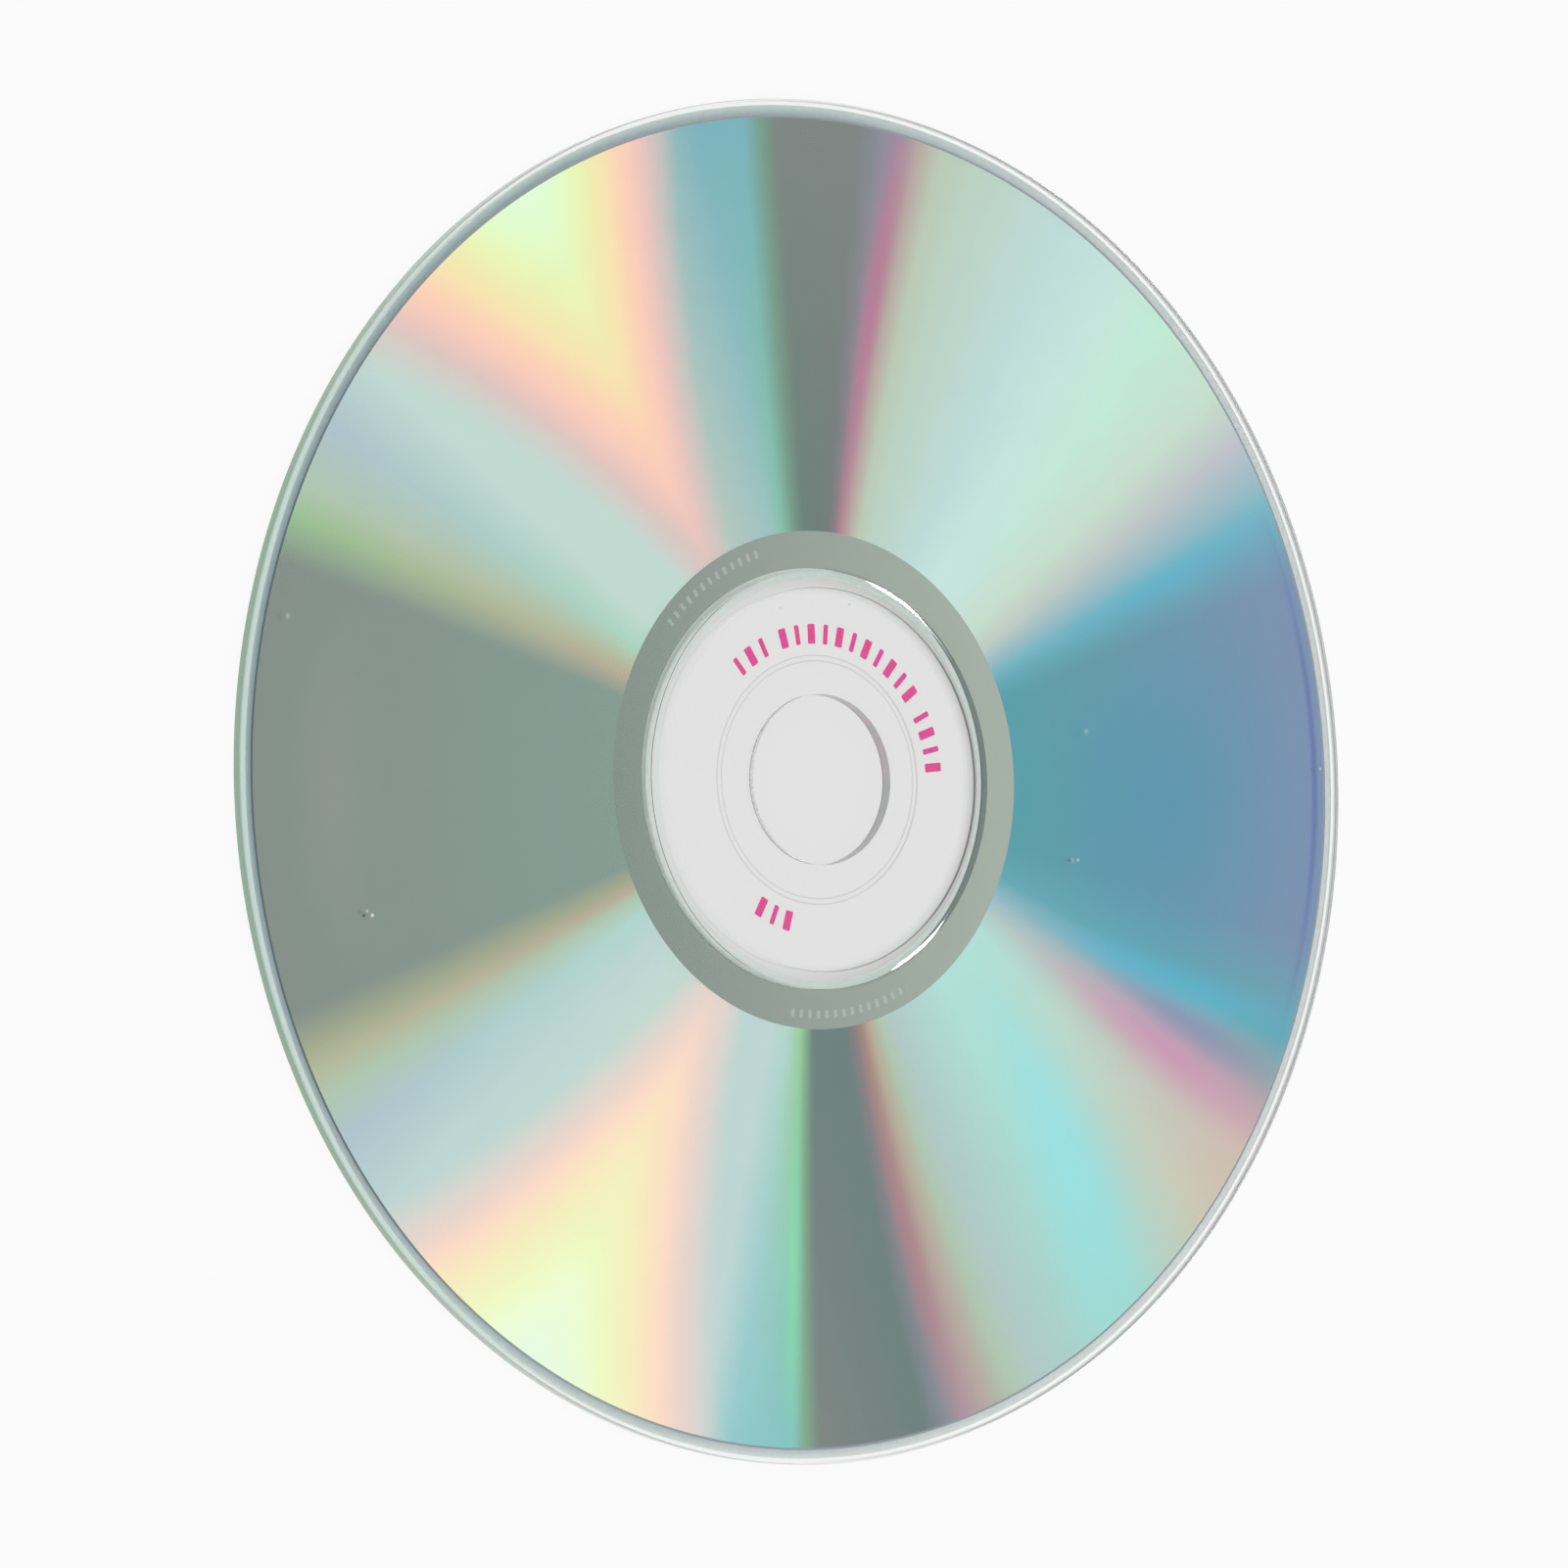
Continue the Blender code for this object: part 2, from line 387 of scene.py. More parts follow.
def rim_plastic():
    """The rim, with the light that comes out of the plastic there painted on: green at the left, pale
    elsewhere.
    """
    material, tree, shader, point = start_plastic("rim_polycarbonate")
    x, _, z = along_axes(tree, point)
    off_left = spread(tree, x, *RIM_TURNS, soft=True)
    wall = mix_inks(tree, off_left, RIM_WALL_LEFT, RIM_WALL_REST)
    top = mix_inks(tree, off_left, RIM_TOP_LEFT, RIM_TOP_REST)
    height = spread(tree, z, RIM_WALL_TOP, RIM_TOP_FROM)
    tree.links.new(mix_inks(tree, height, wall, top), shader.inputs["Base Color"])
    clear_share = spread(tree, reckon(tree, "MULTIPLY", height, off_left), 0.0, 1.0, *RIM_CLEARNESS)
    tree.links.new(clear_share, shader.inputs["Transmission Weight"])
    shader.inputs["Roughness"].default_value = RIM_ROUGHNESS
    return material


def finish_number(face):
    """Which finish a face of the clear disc has, by its place in the list of finishes."""
    radius = math.hypot(face.center.x, face.center.y)
    aqua_from = RING_FOOT_OUTSIDE - RING_STEP_WIDTH - RING_FLANK_WIDTH - RING_SHOULDER_WIDTH
    zones = (
        (0.0, HOLE_RADIUS + HOLE_EDGE_ROUND / 2, 1),
        (GROOVE_INSIDE, GROOVE_INSIDE + GROOVE_WALL, 2),
        (GROOVE_OUTSIDE - GROOVE_WALL, GROOVE_OUTSIDE, 2),
        (RING_FOOT_INSIDE, RING_FOOT_INSIDE + RING_SLOPE_INSIDE, 3),
        (aqua_from, RING_FOOT_OUTSIDE, 4),
        (DISC_RADIUS - RIM_BAND, DISC_RADIUS, 5),
    )
    for start, end, number in zones:
        if start < radius < end:
            return number
    return 0


clear_disc = turn("clear_disc", clear_disc_section())
FINISHES = (clear_plastic, hole_wall_plastic, groove_plastic, slope_plastic, ring_plastic, rim_plastic)
for finish in FINISHES:
    clear_disc.data.materials.append(finish())
for face in clear_disc.data.polygons:
    face.material_index = finish_number(face)
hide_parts("substrate")
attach(clear_disc, "root")

# The recording dye
# An organic dye spun on as a thin film over the data zone only, on a groove that winds from hub to rim.
# The groove splits the light that the silver behind sends back into fans of colour, and here those fans
# are painted into the film's colour as painted reflections, with painted shade in the dark sectors.
DYE_INSIDE = 0.02195
DYE_OUTSIDE = 0.0585
FILM_TOP = UNDERSIDE + 0.000005
DYE_BOTTOM = 0.00003
SPIN_OFF_CENTRE = (0.00010, -0.00008)
FILM_RIMS = (0.058, 0.0591)
SPIN_GRAIN = 180.0
NOISE_MOST = (0.3, 0.7)
DYE_ROUGHNESS = (0.10, 0.16)
SURFACE_GLARE = 0.055
SHARE_THROUGH_PLASTIC = 0.89
# Painted reflection: the colours that the groove splits out of the light; the dark ones are painted shade.
PAINTED_DIFFRACTION_INKS = {
    "teal": (92, 160, 169),
    "slate": (127, 146, 177),
    "lake": (103, 170, 182),
    "steel": (118, 164, 186),
    "sky": (122, 182, 197),
    "powder": (154, 187, 197),
    "pearl": (189, 204, 194),
    "lilac_white": (190, 193, 203),
    "mint_white": (199, 219, 204),
    "mint": (193, 233, 213),
    "ice": (198, 226, 220),
    "frost": (190, 218, 216),
    "sage_white": (188, 209, 196),
    "sage": (187, 201, 182),
    "tan_rose": (184, 168, 163),
    "rose": (182, 136, 150),
    "mauve": (160, 142, 164),
    "plum": (140, 128, 132),
    "dusk": (136, 142, 152),
    "shadow": (117, 127, 125),
    "shadow_rim": (128, 136, 133),
    "green_shadow": (110, 130, 124),
    "fern": (122, 158, 140),
    "sea_green": (136, 192, 170),
    "aqua": (126, 179, 189),
    "pale_aqua": (158, 195, 194),
    "mist_green": (180, 198, 191),
    "mint_mist": (193, 216, 209),
    "spring": (173, 212, 192),
    "blue_haze": (176, 195, 205),
    "pond": (176, 198, 177),
    "moss": (182, 186, 158),
    "olive": (156, 192, 150),
    "khaki": (182, 172, 152),
    "dull_olive": (160, 168, 142),
    "left_shadow": (135, 157, 149),
    "left_shadow_rim": (135, 145, 140),
    "glacier": (178, 213, 205),
    "ice_mint": (177, 222, 214),
    "cool_mist": (190, 212, 211),
    "lagoon": (148, 200, 204),
    "lime_edge": (158, 204, 156),
    "sea_mint": (134, 195, 194),
    "leaf": (131, 172, 143),
    "deep": (112, 131, 129),
    "clay_rose": (165, 138, 128),
    "dusty_rose": (176, 152, 160),
    "celadon": (178, 200, 198),
    "turquoise": (163, 215, 207),
    "sand": (205, 198, 180),
    "blush": (207, 186, 178),
    "lilac_grey": (170, 168, 166),
    "sea_blue": (104, 169, 182),
}
RAYS = (
    (0.0, 0.0, "teal", "slate"),
    (16.5, 15.5, "teal", "slate"),
    (20.0, 19.5, "lake", "steel"),
    (22.8, 23.0, "sky", "sky"),
    (25.3, 25.3, "powder", "powder"),
    (29.0, 29.4, "pearl", "lilac_white"),
    (34.0, 34.0, "mint_white", "mint_white"),
    (43.0, 43.0, "ice", "mint"),
    (50.0, 50.0, "ice", "ice"),
    (57.0, 57.0, "frost", "frost"),
    (70.5, 67.5, "sage_white", "sage_white"),
    (74.0, 71.8, "sage", "sage"),
    (76.8, 74.4, "tan_rose", "tan_rose"),
    (78.9, 76.7, "rose", "mauve"),
    (80.8, 79.0, "plum", "dusk"),
    (82.6, 81.2, "shadow", "shadow_rim"),
    (89.5, 90.2, "green_shadow", "shadow_rim"),
    (92.6, 91.6, "fern", "fern"),
    (95.6, 93.6, "sea_green", "aqua"),
    (99.0, 98.4, "pale_aqua", "aqua"),
    (110.0, 108.0, "mist_green", "mist_green"),
    (126.0, 126.0, "mint_mist", "mint_mist"),
    (140.0, 139.5, "mint_mist", "mint_mist"),
    (146.2, 146.2, "spring", "blue_haze"),
    (151.0, 152.2, "moss", "pond"),
    (153.6, 154.8, "khaki", "olive"),
    (158.2, 158.8, "left_shadow", "left_shadow_rim"),
    (196.8, 196.8, "left_shadow", "left_shadow_rim"),
    (199.6, 199.4, "dull_olive", "dull_olive"),
    (202.0, 201.8, "khaki", "moss"),
    (204.3, 204.2, "pond", "pond"),
    (208.0, 208.0, "glacier", "blue_haze"),
    (215.0, 215.0, "cool_mist", "cool_mist"),
    (222.0, 222.0, "mint_mist", "mint_mist"),
    (252.5, 253.0, "cool_mist", "cool_mist"),
    (257.0, 256.5, "glacier", "lagoon"),
    (260.6, 262.8, "lime_edge", "sea_mint"),
    (262.4, 264.2, "leaf", "leaf"),
    (264.2, 265.8, "deep", "shadow_rim"),
    (273.2, 277.2, "deep", "deep"),
    (275.8, 279.4, "plum", "dusk"),
    (278.0, 281.8, "clay_rose", "dusty_rose"),
    (280.3, 284.2, "khaki", "tan_rose"),
    (283.6, 287.3, "pond", "pond"),
    (287.0, 290.5, "celadon", "celadon"),
    (303.5, 298.5, "ice_mint", "turquoise"),
    (311.5, 303.5, "ice_mint", "turquoise"),
    (320.0, 314.0, "ice_mint", "sand"),
    (324.8, 322.6, "celadon", "blush"),
    (328.6, 327.0, "powder", "lilac_grey"),
    (333.6, 332.6, "sea_blue", "sea_blue"),
    (342.0, 342.0, "teal", "slate"),
    (360.0, 360.0, "teal", "slate"),
)
FAN_RISE = 1.5
FANS = (
    {"middle": 117.5, "before": 13.8, "after": 18.7, "clear_until": -0.40, "covers_from": 0.12, "inks": (
        (0.00, (223, 196, 192)),
        (0.12, (235, 198, 191)),
        (0.25, (247, 204, 187)),
        (0.37, (250, 211, 182)),
        (0.50, (246, 225, 179)),
        (0.60, (240, 232, 178)),
        (0.75, (232, 243, 185)),
        (0.85, (227, 250, 200)),
        (1.00, (223, 251, 218)),
    )},
    {"middle": 235.0, "before": 16.0, "after": 16.0, "clear_until": -0.50, "covers_from": 0.10, "inks": (
        (0.00, (233, 212, 204)),
        (0.10, (240, 214, 202)),
        (0.20, (248, 219, 199)),
        (0.35, (248, 228, 194)),
        (0.50, (243, 237, 192)),
        (0.68, (238, 246, 194)),
        (0.80, (236, 250, 210)),
        (1.00, (229, 254, 227)),
    )},
)
# Painted light: soft ovals of diffracted colour.
GLOWS = (
    (21.5, 0.0, 3.0, 0.60, 0.50, 0.60, (96, 178, 203)),
    (77.2, -2.8, 2.2, 0.60, 0.60, 0.75, (186, 122, 150)),
    (262.0, 2.0, 1.8, 0.55, 0.60, 0.75, (136, 218, 176)),
    (279.3, 3.8, 2.4, 0.55, 0.55, 0.45, (178, 128, 140)),
    (305.5, -11.0, 9.0, 0.60, 0.60, 0.70, (150, 224, 228)),
    (324.8, 0.0, 5.0, 0.66, 0.60, 0.75, (205, 146, 182)),
    (328.8, 0.0, 3.2, 0.70, 0.45, 0.60, (136, 138, 180)),
    (331.9, 5.0, 3.6, 0.55, 0.62, 0.75, (96, 182, 208)),
    (354.0, 0.0, 30.0, 0.48, 0.50, 0.45, (76, 150, 180)),
    (178.0, 0.0, 24.0, 0.78, 0.14, 0.60, (146, 152, 150)),
    (357.5, 0.0, 29.0, 0.973, 0.017, 0.95, (106, 122, 174)),
)


def to_linear(channel):
    """A screen value from 0 to 255 as a linear amount of light."""
    share = channel / 255
    return share / 12.92 if share <= 0.04045 else ((share + 0.055) / 1.055) ** 2.4


def film_ink(screen):
    """The film colour that looks like this screen colour from above the plastic."""
    behind = [(to_linear(channel) - SURFACE_GLARE) / SHARE_THROUGH_PLASTIC for channel in screen]
    return tuple(min(1.0, max(0.0, light)) for light in behind)


def paint_rays(tree, angle, reach):
    """Painted reflection that passes from ray to ray round the disc.

    Each ray gives its angle at the hub and at the rim, and its ink at the hub and at the rim.
    """
    hub_angle, rim_angle, hub_ink, rim_ink = RAYS[0]
    colour = mix_inks(tree, reach, film_ink(PAINTED_DIFFRACTION_INKS[hub_ink]), film_ink(PAINTED_DIFFRACTION_INKS[rim_ink]))
    start = spread(tree, reach, 0.0, 1.0, hub_angle, rim_angle)
    for hub_angle, rim_angle, hub_ink, rim_ink in RAYS[1:]:
        end = spread(tree, reach, 0.0, 1.0, hub_angle, rim_angle)
        passed = spread(tree, angle, start, end)
        own = mix_inks(tree, reach, film_ink(PAINTED_DIFFRACTION_INKS[hub_ink]), film_ink(PAINTED_DIFFRACTION_INKS[rim_ink]))
        colour = mix_inks(tree, passed, colour, own)
        start = end
    return colour


def ink_ramp(tree, place, stops):
    """A colour ramp through these (place, screen colour) stops."""
    node = tree.nodes.new("ShaderNodeValToRGB")
    marks = node.color_ramp.elements
    while len(marks) < len(stops):
        marks.new(0.5)
    for mark, (position, ink) in zip(marks, stops):
        mark.position = position
        mark.color = (*film_ink(ink), 1.0)
    feed(tree, node.inputs["Fac"], place)
    return node.outputs["Color"]


def paint_fan(tree, colour, angle, reach, fan):
    """Lays nested warm arcs of painted diffracted light over the colour, wide at the rim and closing to a
    point towards the hub.

    Each fan gives its middle's angle, its width in degrees before and after that at the rim, the depths
    between which it comes to cover what lies under it, and its inks by depth.
    """
    off = reckon(tree, "SUBTRACT", angle, fan["middle"])
    after = reckon(tree, "DIVIDE", off, fan["after"])
    before = reckon(tree, "DIVIDE", off, -fan["before"])
    aside = reckon(tree, "POWER", reckon(tree, "MAXIMUM", after, before), FAN_RISE)
    depth = reckon(tree, "SUBTRACT", reach, aside)
    warm = ink_ramp(tree, depth, fan["inks"])
    cover = spread(tree, depth, fan["clear_until"], fan["covers_from"], soft=True)
    return mix_inks(tree, cover, colour, warm)


def lay_glow(tree, colour, angle, reach, glow):
    """Lays a soft oval of painted diffracted light, in one ink, over the colour.

    Each glow gives its middle's angle, the degrees by which it leans on the way from hub to rim, half its
    width in degrees, how far out its middle lies and half its length as shares of that way, its strength
    and its ink.
    """
    middle, lean, half_width, middle_reach, half_length, strength, ink = glow
    middle_line = reckon(tree, "MULTIPLY_ADD", reach, lean, middle - lean * middle_reach)
    round_off = reckon(tree, "WRAP", reckon(tree, "SUBTRACT", angle, middle_line), 180.0, -180.0)
    round_share = reckon(tree, "POWER", reckon(tree, "DIVIDE", round_off, half_width), 2.0)
    reach_off = reckon(tree, "DIVIDE", reckon(tree, "SUBTRACT", reach, middle_reach), half_length)
    away = reckon(tree, "SQRT", reckon(tree, "MULTIPLY_ADD", reach_off, reach_off, round_share))
    share = spread(tree, away, 0.0, 1.0, strength, 0.0, soft=True)
    return mix_inks(tree, share, colour, film_ink(ink))


def share_of_reach(tree, radius):
    """How far a radius is on the way from the dye's inner edge to its outer edge, from 0 to 1."""
    return spread(tree, radius, DYE_INSIDE * MM_IN_METRE, DYE_OUTSIDE * MM_IN_METRE)


def recording_dye():
    """The dye on its silver, with painted diffraction light: rays of colour, two warm fans, soft glows,
    and a faint unevenness.
    """
    material, tree, shader = start_material("recording_dye")
    point = point_on_piece(tree)
    x, y, _ = along_axes(tree, point)
    angle = angle_round_disc(tree, x, y)
    reach = share_of_reach(tree, millimetres_out(tree, x, y))
    colour = paint_rays(tree, angle, reach)
    for fan in FANS:
        colour = paint_fan(tree, colour, angle, reach, fan)
    for glow in GLOWS:
        colour = lay_glow(tree, colour, angle, reach, glow)
    tree.links.new(colour, shader.inputs["Base Color"])
    shader.inputs["Metallic"].default_value = 1.0
    roughen(tree, shader, point, SPIN_GRAIN, NOISE_MOST, DYE_ROUGHNESS)
    return material


def shift_edge(film, radii, offset):
    """Moves the part of a film that lies between two radii sideways."""
    inside, outside = radii
    for corner in film.data.vertices:
        if inside < math.hypot(corner.co.x, corner.co.y) < outside:
            corner.co.x += offset[0]
            corner.co.y += offset[1]


dye = turn(
    "dye_film",
    [(DYE_INSIDE, DYE_BOTTOM), (DYE_OUTSIDE, DYE_BOTTOM), (DYE_OUTSIDE, FILM_TOP), (DYE_INSIDE, FILM_TOP)],
)
shift_edge(dye, FILM_RIMS, SPIN_OFF_CENTRE)
dye.data.materials.append(recording_dye())
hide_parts("dye_layer")
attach(dye, "root")

# The silver film
# Silver sputtered over the dye and past both its edges. It shows by itself as the plain grey mirror band
# inside the data zone, and its inner edge is a little off centre, as the sputtering mask was.
SILVER_INSIDE = 0.01852
SILVER_OUTSIDE = 0.0587
SILVER_STEP_RADIUS = 0.02185
SILVER_BOTTOM = 0.00002
MASKED_EDGE = (0.0, 0.020)
MASK_OFF_CENTRE = (-0.00038, 0.00012)
SPUTTER_GRAIN = 400.0
SILVER_ROUGHNESS = (0.08, 0.14)
# Painted reflection: the mirror band's grey-green, with painted shade at the left.
BAND_SHADED_LEFT = (135, 147, 142)
BAND_RIGHT = (167, 177, 167)
BAND_EDGE_PAINTED_SHADE = (104, 116, 112)
BAND_EDGE_WIDTH = 0.35
BAND_EDGE_SHOWS = (0.5, 0.7)
TICK_PALE = (188, 198, 194)
TICK_STRENGTH = 0.42
TICK_RADII = (20.3, 21.0)
TICK_ARCS = ((103.0, 137.0), (257.0, 294.0))
TICK_PITCH = 2.6
TICK_SHARE = 0.4
# Painted shade along the silver's outer edge at the left.
OUTER_EDGE_SHADED_LEFT = (94, 108, 110)
OUTER_EDGE = (148, 156, 160)


def silver_section():
    """The silver's section: thin beside the dye, stepped down under it, and up again outside it."""
    return [
        (SILVER_INSIDE, DYE_BOTTOM),
        (SILVER_STEP_RADIUS, DYE_BOTTOM),
        (SILVER_STEP_RADIUS, SILVER_BOTTOM),
        (SILVER_OUTSIDE, SILVER_BOTTOM),
        (SILVER_OUTSIDE, FILM_TOP),
        (DYE_OUTSIDE, FILM_TOP),
        (DYE_OUTSIDE, DYE_BOTTOM),
        (DYE_INSIDE, DYE_BOTTOM),
        (DYE_INSIDE, FILM_TOP),
        (SILVER_INSIDE, FILM_TOP),
    ]


def lay_ticks(tree, tone, angle, radius):
    """Lays plain pale ticks along two arcs of the mirror band, as a mould's fine scribing leaves them."""
    inner, outer = TICK_RADII
    middle = (inner + outer) / 2
    in_band = reckon(tree, "COMPARE", radius, middle, outer - middle)
    phase = reckon(tree, "MODULO", angle, TICK_PITCH)
    tick = reckon(tree, "LESS_THAN", phase, TICK_PITCH * TICK_SHARE)
    in_arcs = 0.0
    for start, end in TICK_ARCS:
        within = reckon(tree, "COMPARE", angle, (start + end) / 2, (end - start) / 2)
        in_arcs = reckon(tree, "ADD", within, in_arcs)
    marked = reckon(tree, "MULTIPLY", reckon(tree, "MULTIPLY", in_band, tick), in_arcs)
    return mix_inks(tree, reckon(tree, "MULTIPLY", marked, TICK_STRENGTH), tone, film_ink(TICK_PALE))


def silver_finish():
    """A grey-green mirror, with painted shade at the left, along its thin inner edge at the right and
    along its outer edge at the left.
    """
    material, tree, shader = start_material("silver_film")
    point = point_on_piece(tree)
    x, y, _ = along_axes(tree, point)
    radius = millimetres_out(tree, x, y)
    to_the_right = spread(tree, x, -DYE_INSIDE, DYE_INSIDE)
    tone = mix_inks(tree, to_the_right, film_ink(BAND_SHADED_LEFT), film_ink(BAND_RIGHT))
    inner_edge = SILVER_INSIDE * MM_IN_METRE
    # Painted shade: a dark line along the silver's inner edge, shown at the right.
    thin = spread(tree, radius, inner_edge + BAND_EDGE_WIDTH, inner_edge, soft=True)
    painted_shade_at_right = reckon(tree, "MULTIPLY", thin, spread(tree, to_the_right, *BAND_EDGE_SHOWS))
    tone = mix_inks(tree, painted_shade_at_right, tone, film_ink(BAND_EDGE_PAINTED_SHADE))
    tone = lay_ticks(tree, tone, angle_round_disc(tree, x, y), radius)
    off_left = spread(tree, x, -DYE_OUTSIDE, -DYE_OUTSIDE / 2, soft=True)
    outer_tone = mix_inks(tree, off_left, film_ink(OUTER_EDGE_SHADED_LEFT), film_ink(OUTER_EDGE))
    tone = mix_inks(tree, share_of_reach(tree, radius), tone, outer_tone)
    tree.links.new(tone, shader.inputs["Base Color"])
    shader.inputs["Metallic"].default_value = 1.0
    roughen(tree, shader, point, SPUTTER_GRAIN, NOISE_MOST, SILVER_ROUGHNESS)
    return material


silver = turn("silver_film", silver_section())
shift_edge(silver, MASKED_EDGE, MASK_OFF_CENTRE)
shift_edge(silver, FILM_RIMS, SPIN_OFF_CENTRE)
silver.data.materials.append(silver_finish())
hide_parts("silver_layer")
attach(silver, "root")

# The label lacquer
# A hard lacquer with a plain silver-white printed face, spun on over the silver and past both its edges
# and cured there. The disc lies on it, so only its two bare margins show through the plastic.
LACQUER_INSIDE = 0.01775
LACQUER_OUTSIDE = 0.0595
LACQUER_TOP = UNDERSIDE + 0.000003
LACQUER_SHELF = 0.0195
LACQUER_AT_HUB = (218, 227, 223)
# Painted shade: the lacquer's outer margin darker next to the silver and towards the left and back.
LACQUER_SHADED_NEAR_LEFT = (146, 164, 170)
LACQUER_SHADED_NEAR_RIGHT = (206, 215, 217)
LACQUER_FAR_LEFT = (198, 215, 208)
LACQUER_FAR_RIGHT = (238, 242, 239)
LACQUER_LEAN = -0.4
LACQUER_ROUGHNESS = 0.35
BLACK = (0.0, 0.0, 0.0)
MOTTLE_GRAIN = 1500.0
MOTTLE_LIGHT = (0.94, 1.0)
MOTTLE_RELIEF = 0.00001
RELIEF_STRENGTH = 0.15


def lacquer_section():
    """The lacquer's section, wrapped round both edges of the silver."""
    return [
        (LACQUER_INSIDE, 0.0),
        (LACQUER_OUTSIDE, 0.0),
        (LACQUER_OUTSIDE, LACQUER_TOP),
        (SILVER_OUTSIDE, LACQUER_TOP),
        (SILVER_OUTSIDE, SILVER_BOTTOM),
        (LACQUER_SHELF, SILVER_BOTTOM),
        (LACQUER_SHELF, LACQUER_TOP),
        (LACQUER_INSIDE, LACQUER_TOP),
    ]


def lacquer_finish():
    """Pearly silver-white lacquer, mottled as a printed coat is, with painted shade where it meets the
    silver, and darker at the left and back than at the front right.
    """
    material, tree, shader = start_material("label_lacquer")
    point = point_on_piece(tree)
    x, y, _ = along_axes(tree, point)
    radius = millimetres_out(tree, x, y)
    aslant = reckon(tree, "MULTIPLY_ADD", y, LACQUER_LEAN, x)
    to_front_right = spread(tree, aslant, -DYE_OUTSIDE, DYE_OUTSIDE)
    near = mix_inks(tree, to_front_right, film_ink(LACQUER_SHADED_NEAR_LEFT), film_ink(LACQUER_SHADED_NEAR_RIGHT))
    far = mix_inks(tree, to_front_right, film_ink(LACQUER_FAR_LEFT), film_ink(LACQUER_FAR_RIGHT))
    outwards = spread(tree, radius, SILVER_OUTSIDE * MM_IN_METRE, LACQUER_OUTSIDE * MM_IN_METRE)
    outer_tone = mix_inks(tree, outwards, near, far)
    tone = mix_inks(tree, share_of_reach(tree, radius), film_ink(LACQUER_AT_HUB), outer_tone)
    mottle = spread(tree, grain(tree, point, MOTTLE_GRAIN), *NOISE_MIDDLE, *MOTTLE_LIGHT)
    tree.links.new(mix_inks(tree, mottle, BLACK, tone), shader.inputs["Base Color"])
    shader.inputs["Metallic"].default_value = 1.0
    shader.inputs["Roughness"].default_value = LACQUER_ROUGHNESS
    relief = tree.nodes.new("ShaderNodeBump")
    relief.inputs["Strength"].default_value = RELIEF_STRENGTH
    relief.inputs["Distance"].default_value = MOTTLE_RELIEF
    tree.links.new(mottle, relief.inputs["Height"])
    tree.links.new(relief.outputs["Normal"], shader.inputs["Normal"])
    return material


lacquer = turn("label_lacquer", lacquer_section())
shift_edge(lacquer, FILM_RIMS, SPIN_OFF_CENTRE)
lacquer.data.materials.append(lacquer_finish())
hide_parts("label_coat")
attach(lacquer, "root")

# The printed marks on the hub
# Magenta ink, pad printed on the underside of the clear hub and seen through it. Each mark is a plain bar
# that points at the middle of the disc, with the softly rounded corners and thin edge of wet ink.
MARK_MIDDLE_RADIUS = 0.012875
MARK_LENGTH = 0.00175
MARK_PITCH = 0.00155
MARK_WIDTHS = (0.00078, 0.00048)
MARK_GROUPS = ((2.0, 4), (33.5, 11), (113.0, 3), (237.0, 3))
MARK_BOTTOM = 0.00002
MARK_CORNER = 0.00012
STEPS_IN_CORNER = 5
MAGENTA = (0.84, 0.012, 0.26)
MAGENTA_THIN = (0.88, 0.04, 0.32)
# Painted light: the ink glows a little, for the light table behind it.
INK_PAINTED_GLOW = 0.26
INK_GRAIN = 1800.0
INK_THINS = (0.45, 0.7)
INK_ROUGHNESS = (0.45, 0.6)


def mark_outline(width):
    """The outline of one bar, lying along X, with rounded corners."""
    points = []
    for side_x, side_y, start in ((1, 1, 0), (-1, 1, 90), (-1, -1, 180), (1, -1, 270)):
        centre_x = side_x * (MARK_LENGTH / 2 - MARK_CORNER)
        centre_y = side_y * (width / 2 - MARK_CORNER)
        for i in range(STEPS_IN_CORNER + 1):
            angle = math.radians(start + 90 * i / STEPS_IN_CORNER)
            across, along = MARK_CORNER * math.cos(angle), MARK_CORNER * math.sin(angle)
            points.append((centre_x + across, centre_y + along))
    return points


def add_marks():
    """All the bars as one printed layer."""
    step = math.degrees(MARK_PITCH / MARK_MIDDLE_RADIUS)
    places = [start + step * i for start, count in MARK_GROUPS for i in range(count)]
    corners = []
    faces = []
    for number, place in enumerate(places):
        outline = mark_outline(MARK_WIDTHS[number % len(MARK_WIDTHS)])
        turned = Matrix.Rotation(math.radians(place), 3, "Z")
        first = len(corners)
        count = len(outline)
        for height in (MARK_BOTTOM, FILM_TOP):
            corners += [turned @ Vector((MARK_MIDDLE_RADIUS + x, y, height)) for x, y in outline]
        faces.append(tuple(first + i for i in reversed(range(count))))
        faces.append(tuple(first + count + i for i in range(count)))
        for i in range(count):
            j = (i + 1) % count
            faces.append((first + i, first + j, first + count + j, first + count + i))
    mesh = bpy.data.meshes.new("printed_marks")
    mesh.from_pydata(corners, [], faces)
    marks = bpy.data.objects.new("printed_marks", mesh)
    bpy.context.scene.collection.objects.link(marks)
    return marks, len(places)


def magenta_print():
    """Magenta ink that lies a little thinner here and there, with a painted glow for the light table
    showing through it.
    """
    material, tree, shader = start_material("magenta_ink")
    thin = spread(tree, grain(tree, point_on_piece(tree), INK_GRAIN), *INK_THINS)
    ink = mix_inks(tree, thin, MAGENTA, MAGENTA_THIN)
    tree.links.new(ink, shader.inputs["Base Color"])
    tree.links.new(ink, shader.inputs["Emission Color"])
    shader.inputs["Emission Strength"].default_value = INK_PAINTED_GLOW
    tree.links.new(spread(tree, thin, 0.0, 1.0, *INK_ROUGHNESS), shader.inputs["Roughness"])
    return material


marks, mark_count = add_marks()
marks.data.materials.append(magenta_print())
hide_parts(*[f"print_bar_{number + 1:02d}" for number in range(mark_count)])
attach(marks, "root")

